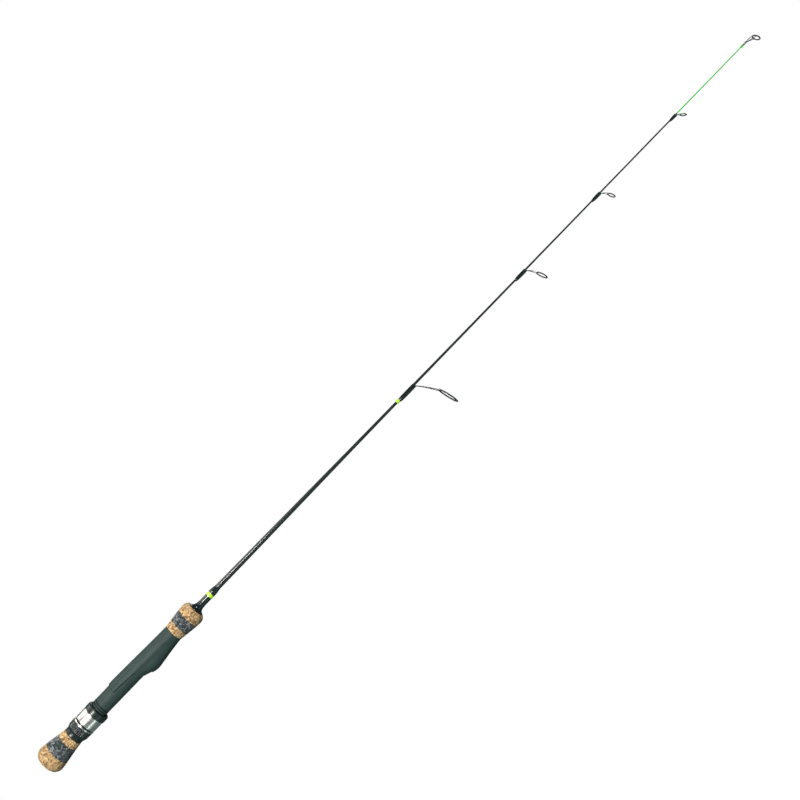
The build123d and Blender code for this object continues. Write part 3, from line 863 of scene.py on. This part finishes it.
# ================================================================== check, wraps, blank and tip
def trumpet_check():
    """Glossy check that flares from the blank to the fore grip's face."""
    start, end = span("winding_check")
    flare = curve([(start, 8.35), (start + 0.5, 8.3), (start + 1.1, 7.1), (start + 2.3, 5.45),
                   (start + 4.4, 4.3), (end, 3.74)])
    bore = BLANK_CURVE(start)
    loop = [(start + SKIN, bore)]
    loop += [(x, flare(x)) for x in stations(start + SKIN, end - SKIN, 0.12)]
    loop.append((end - SKIN, bore))
    return dress(sharpen(turned("trumpet_check", loop, 144), 50), "rod", "gloss", "winding_check")


def wrapped(node, look, outline, drop=0.0):
    """Varnished wrap, from its outline; it may hang below the axis round a guide's foot."""
    start, end = span(node)

    def inner(x, angle):
        centre = BLANK_CURVE(x) + 0.01
        toward = drop * -math.cos(angle)
        return max(-toward + math.sqrt(max(centre**2 - (drop * math.sin(angle))**2, 0.0)), 0.05)

    xs = stations(start, end, 0.1)
    piece = shell(node + "_varnish", xs, lambda x, angle: outline(x), inner, sides=72, centre_z=-drop)
    return dress(sharpen(piece, 60), "rod", look, node)


def thread_ripple(x, depth=0.002):
    """The turns of thread, just showing through the varnish."""
    return depth * math.sin(TURN * x / THREAD_RIPPLE_PITCH)


def fore_dressing():
    """Wraps in front of the handle, parted by the lime band."""
    wrapped("fore_wrap", "wrap", lambda x: 3.74 + thread_ripple(x))
    wrapped("fore_trim_band", "lime", lambda x: 3.84 + thread_ripple(x))
    start, end = span("fore_front_wrap")
    blank_r = BLANK_CURVE(end)
    ending = curve([(start, 3.88), (start + 2.6, 3.82), (start + 5.4, 3.45),
                    (end - 1.2, blank_r + 0.16), (end, blank_r + 0.06)])
    wrapped("fore_front_wrap", "wrap", ending)


def blank_tube():
    """The hollow graphite tube."""
    start, end = span("blank")
    bore = curve([(start, 2.40), (128.0, 2.00), (331.0, 1.00), (497.0, 0.56), (767.5, 0.43),
                  (792.5, 0.43)])
    piece = shell("blank_tube", stations(start + 0.05, end, 0.9),
                  lambda x, angle: BLANK_CURVE(x) - 0.008, lambda x, angle: bore(x), sides=40)
    dress(sharpen(piece, 50), "rod", "graphite", "blank")


def glass_tip_rod():
    """The solid tip, with the spigot that goes into the blank."""
    first, last = span("tip_section")
    loop = rounded_loop([(first, 0.02), (first, 0.40, 0.05), (BLANK_END, 0.42),
                         (BLANK_END, TIP_REAR_R - 0.01, 0.12)])
    for x in stations(BLANK_END + 2, last, 4):
        loop.append((x, mix(TIP_REAR_R, TIP_FRONT_R, (x - BLANK_END) / (last - BLANK_END))))
    loop.append((last, 0.02))
    dress(sharpen(turned("glass_tip_rod", loop, 32), 50), "rod", "tip", "tip_section")


# ========================================================================================== guides
GUIDE_MOUNTS = {mount["name"]: mount for mount in frame["record"]["mounts"]}
GUIDES = {
    "guide_1": dict(wrap_r=2.43, wrap_drop=0.65),
    "guide_2": dict(wrap_r=2.05, wrap_drop=0.33),
    "guide_3": dict(wrap_r=1.90, wrap_drop=0.22),
    "guide_4": dict(wrap_r=1.70, wrap_drop=0.25),
}
RING_SIDES = 144
LEG_ANGLE = 38                # degrees round the ring from the side nearest the blank
BRACE_ANGLE = 80
LEG_STEPS = 22
ARM_STEPS = 20


class Ring:
    """A guide's ring: its centre, its axis and its sizes, read from the frame."""

    def __init__(self, name):
        mount = GUIDE_MOUNTS[name + "_line_way"]
        self.name = name
        self.centre = Vector(mount["pos_m"]) / MM
        self.axis = Vector(mount["axis"]).normalized()
        self.hole = mount["dims"]["r_mm"]
        self.band = radius_of(name + "_frame")
        self.wall = 0.30 + 0.02 * self.band
        self.width = 0.80 + 0.04 * self.band
        self.side = Vector((0, 1, 0))
        self.up = self.side.cross(self.axis)
        if self.up.z < 0:
            self.up = -self.up

    def point(self, degrees, radius, along=0.0):
        """A point on the ring's plane; 0 degrees is the side nearest the blank."""
        angle = math.radians(degrees)
        flat = self.up * math.cos(angle) + self.side * math.sin(angle)
        return self.centre + flat * radius + self.axis * along


def ring_parts(ring, loop):
    """Points and faces of a ring whose section is a closed loop of (along, radius) points."""
    points = []
    for along, radius in loop:
        points += [ring.point(360 * k / RING_SIDES, radius, along) for k in range(RING_SIDES)]
    return points, ring_faces(len(loop), RING_SIDES)


def guide_insert(ring):
    """Ceramic ring, round-shouldered, with a straight land for the line."""
    half = ring.width * 1.25 / 2
    outer = ring.band - ring.wall
    depth = outer - ring.hole
    round_r = depth * 0.42
    corners = [(-half, outer, round_r * 0.5), (half, outer, round_r * 0.5),
               (half, ring.hole, round_r), (-half, ring.hole, round_r)]
    piece = joined(ring.name + "_insert", [ring_parts(ring, rounded_loop(corners, 6))])
    return dress(piece, "rod", "ceramic", ring.name + "_ring")


def band_parts(ring):
    """The steel band that holds the ceramic ring."""
    half = ring.width / 2 - SKIN
    inside = ring.band - ring.wall - 0.04
    outside = ring.band - SKIN
    edge = ring.wall * 0.4
    corners = [(-half, inside), (-half, outside, edge), (half, outside, edge), (half, inside)]
    return ring_parts(ring, rounded_loop(corners, 5))


def guide_frame(ring):
    """Foot, two spread legs with a slight arch, and the band, in one piece."""
    wrap_start, wrap_end = span(ring.name + "_wrap")
    blank_r = BLANK_CURVE(wrap_end)
    wire = 0.30 + 0.022 * ring.band
    foot_z = -blank_r - 0.25
    parts = [band_parts(ring)]
    tail = mix(wrap_start, wrap_end, 0.25)
    foot = [(x, 0, foot_z) for x in stations(tail, wrap_end + 0.6, 0.5)]
    widest = 0.42 + 0.05 * ring.band
    sizes = [mix(0.15, widest, ramp(p[0], tail, wrap_end - 1)) for p in foot]
    parts.append(swept(foot, sizes, sides=18, flat=0.32))
    for side in (-1, 1):
        end = ring.point(LEG_ANGLE * side, ring.band - ring.wall * 0.5)
        start = Vector((wrap_end - 0.9, 0.28 * side, foot_z))
        bend = Vector((wrap_end + 1.2 + 0.03 * ring.band, 0.32 * side, foot_z - 0.1))
        before = end.lerp(bend, 0.35) + Vector((0.25, 0, -0.02 * ring.band))
        path = bezier(start, bend, before, end, LEG_STEPS)
        widths = [wire * mix(1.15, 0.9, i / LEG_STEPS) for i in range(LEG_STEPS + 1)]
        parts.append(swept(path, widths, sides=16, flat=0.8))
    piece = joined(ring.name + "_frame_steel", parts)
    fused(piece, 0.085 if ring.band > 8 else 0.06)
    return dress(piece, "rod", "guide", ring.name + "_frame")


def guide_wrap(ring, wrap_r, wrap_drop):
    """Wrap with long varnish ramps, fuller over the front of the foot."""
    start, end = span(ring.name + "_wrap")
    thin = BLANK_CURVE(start) + wrap_drop * 0.35 + 0.12
    ends = curve([(start, thin), (start + 2.2, mix(thin, wrap_r, 0.62)), (start + 5.0, wrap_r - 0.03),
                  (end - 1.6, wrap_r), (end - 0.4, wrap_r - 0.10), (end, wrap_r - 0.35)])
    node = ring.name + "_wrap"
    return wrapped(node, "wrap", lambda x: ends(x) + thread_ripple(x, 0.008) - 0.01, wrap_drop)


def tip_top_frame(ring):
    """Tube, upper arm, two braces and band, in one piece."""
    tube_start = span("tip_wrap")[1]
    tube_end = tube_start + 6.6
    heel_x = tube_end - 2.5
    bar = stations(tube_start + SKIN, tube_end, 0.3)
    sizes = [0.93 * (1 - 0.45 * ramp(x, tube_end - 1.2, tube_end)) for x in bar]
    parts = [band_parts(ring), swept([(x, 0, 0) for x in bar], sizes, sides=24)]
    joint_r = ring.band - ring.wall * 0.5
    top = ring.point(0, joint_r)
    arm = bezier((heel_x, 0, 0.35), (tube_end + 1.5, 0, 0.45), (top.x - 3.0, 0, 0.25), top, ARM_STEPS)
    parts.append(swept(arm, [0.42] * len(arm), sides=16))
    for side in (-1, 1):
        end = ring.point(BRACE_ANGLE * side, joint_r)
        start = Vector((heel_x, 0.3 * side, -0.45))
        bend = (tube_end + 1.2, 0.55 * side, -0.75)
        brace = bezier(start, bend, end.lerp(start, 0.4), end, ARM_STEPS)
        parts.append(swept(brace, [0.38] * len(brace), sides=16))
    piece = joined("tip_top_steel", parts)
    fused(piece, 0.06)
    dress(piece, "rod", "guide", "tip_top_frame")


def tip_wrap():
    """Short green wrap behind the tip-top."""
    start, end = span("tip_wrap")
    full = radius_of("tip_wrap")
    body = curve([(start, 0.64), (start + 0.9, full * 0.88), (start + 1.9, full - 0.01),
                  (end - 0.4, full * 0.94), (end, full * 0.82)])
    loop = [(start, 0.57)]
    loop += [(x, body(x)) for x in stations(start, end - SKIN, 0.15)]
    loop.append((end - SKIN, 0.57))
    dress(sharpen(turned("tip_wrap_varnish", loop, 40), 50), "rod", "tip_green", "tip_wrap")


def tip_top():
    """The last guide, at the rod's end."""
    ring = Ring("tip_top")
    tip_top_frame(ring)
    guide_insert(ring)
    tip_wrap()


def guides():
    """The lime band and the four guides along the blank."""
    band_r = radius_of("guide_1_trim_band") - SKIN
    wrapped("guide_1_trim_band", "lime", lambda x: band_r + thread_ripple(x))
    for name, sizes in GUIDES.items():
        ring = Ring(name)
        guide_insert(ring)
        guide_frame(ring)
        guide_wrap(ring, **sizes)


# ==================================================================================== stage, lights
def studio_floor():
    """A pale floor well below the rod; it doesn't light the rod."""
    corners = [(-1, -1), (1, -1), (1, 1), (-1, 1)]
    mesh = bpy.data.meshes.new("floor")
    mesh.from_pydata([(x * FLOOR_HALF, y * FLOOR_HALF, FLOOR_Z) for x, y in corners], [], [(0, 1, 2, 3)])
    floor = bpy.data.objects.new("floor", mesh)
    floor.visible_diffuse = False
    floor.visible_glossy = False
    bpy.context.scene.collection.objects.link(floor)
    mesh.materials.append(floor_surface())


def soft_light(name, place, target, size, size_y, power, colour=(1, 1, 1)):
    """A rectangular light aimed at a target, hidden from the camera; metres and watts."""
    data = bpy.data.lights.new(name, "AREA")
    data.shape = "RECTANGLE"
    data.size = size
    data.size_y = size_y
    data.energy = power
    data.color = colour
    light = bpy.data.objects.new(name, data)
    light.location = place
    light.rotation_euler = (Vector(target) - Vector(place)).to_track_quat("-Z", "Y").to_euler()
    light.visible_camera = False
    bpy.context.scene.collection.objects.link(light)


def white_room():
    """White behind the rod; the light that the room itself sends is dimmer and a little cool."""
    world = bpy.data.worlds.new("white_studio")
    bpy.context.scene.world = world
    world.use_nodes = True
    nodes = world.node_tree.nodes
    links = world.node_tree.links
    seen = nodes["Background"]
    seen.inputs["Color"].default_value = (1, 1, 1, 1)
    sent = nodes.new("ShaderNodeBackground")
    sent.inputs["Color"].default_value = (0.70, 0.98, 1.0, 1)
    sent.inputs["Strength"].default_value = 0.15
    choice = nodes.new("ShaderNodeMixShader")
    links.new(nodes.new("ShaderNodeLightPath").outputs["Is Camera Ray"], choice.inputs["Fac"])
    links.new(sent.outputs["Background"], choice.inputs[1])
    links.new(seen.outputs["Background"], choice.inputs[2])
    links.new(choice.outputs["Shader"], nodes["World Output"].inputs["Surface"])


def studio_lights():
    """A warm strip and a soft overhead light near the handle, and fills below, behind and past the tip."""
    soft_light("key_strip", (-0.30, -1.45, 0.66), (0.0, 0, 0), 0.75, 0.20, 30, (1.0, 0.96, 0.91))
    soft_light("overhead", (-0.25, -0.1, 1.65), (0.0, 0, 0), 1.5, 0.8, 12, (1.0, 0.93, 0.85))
    soft_light("low_fill", (0.35, -0.7, -0.85), (0.35, 0, 0), 2.2, 0.2, 3.0, (0.86, 1.0, 0.98))
    soft_light("back_fill", (0.2, 1.5, 0.4), (0.2, 0, 0), 2.4, 0.5, 8)
    soft_light("tip_side", (1.9, -0.9, 0.8), (0.05, 0, 0), 0.5, 0.5, 18)
    white_room()
    bpy.context.scene.view_settings.view_transform = "Standard"


def camera():
    """The photograph's viewpoint."""
    data = bpy.data.cameras.new("camera")
    data.lens = LENS
    data.sensor_width = SENSOR
    data.clip_start = 0.05
    data.clip_end = 30.0
    item = bpy.data.objects.new("camera", data)
    ahead = Vector((math.sin(CAMERA_YAW), math.cos(CAMERA_YAW), 0))
    along = Vector((math.cos(CAMERA_YAW), -math.sin(CAMERA_YAW), 0))
    down = Vector((0, 0, -1))
    right = along * math.cos(CAMERA_ROLL) + down * math.sin(CAMERA_ROLL)
    up = along * math.sin(CAMERA_ROLL) - down * math.cos(CAMERA_ROLL)
    aim = Vector((CAMERA_AIM_X, 0, CAMERA_AIM_Z)) * MM
    turn = Matrix((right, up, -ahead)).transposed().to_4x4()
    item.matrix_world = Matrix.Translation(aim - ahead * CAMERA_DISTANCE * MM) @ turn
    bpy.context.scene.collection.objects.link(item)
    bpy.context.scene.camera = item


camera()
studio_floor()
studio_lights()
cork_grips()
reel_seat()
seat_collar()
arbors()
hood_sleeve()
hood_mouth()
locking_nut()
nut_ring()
trumpet_check()
fore_dressing()
blank_tube()
glass_tip_rod()
guides()
tip_top()
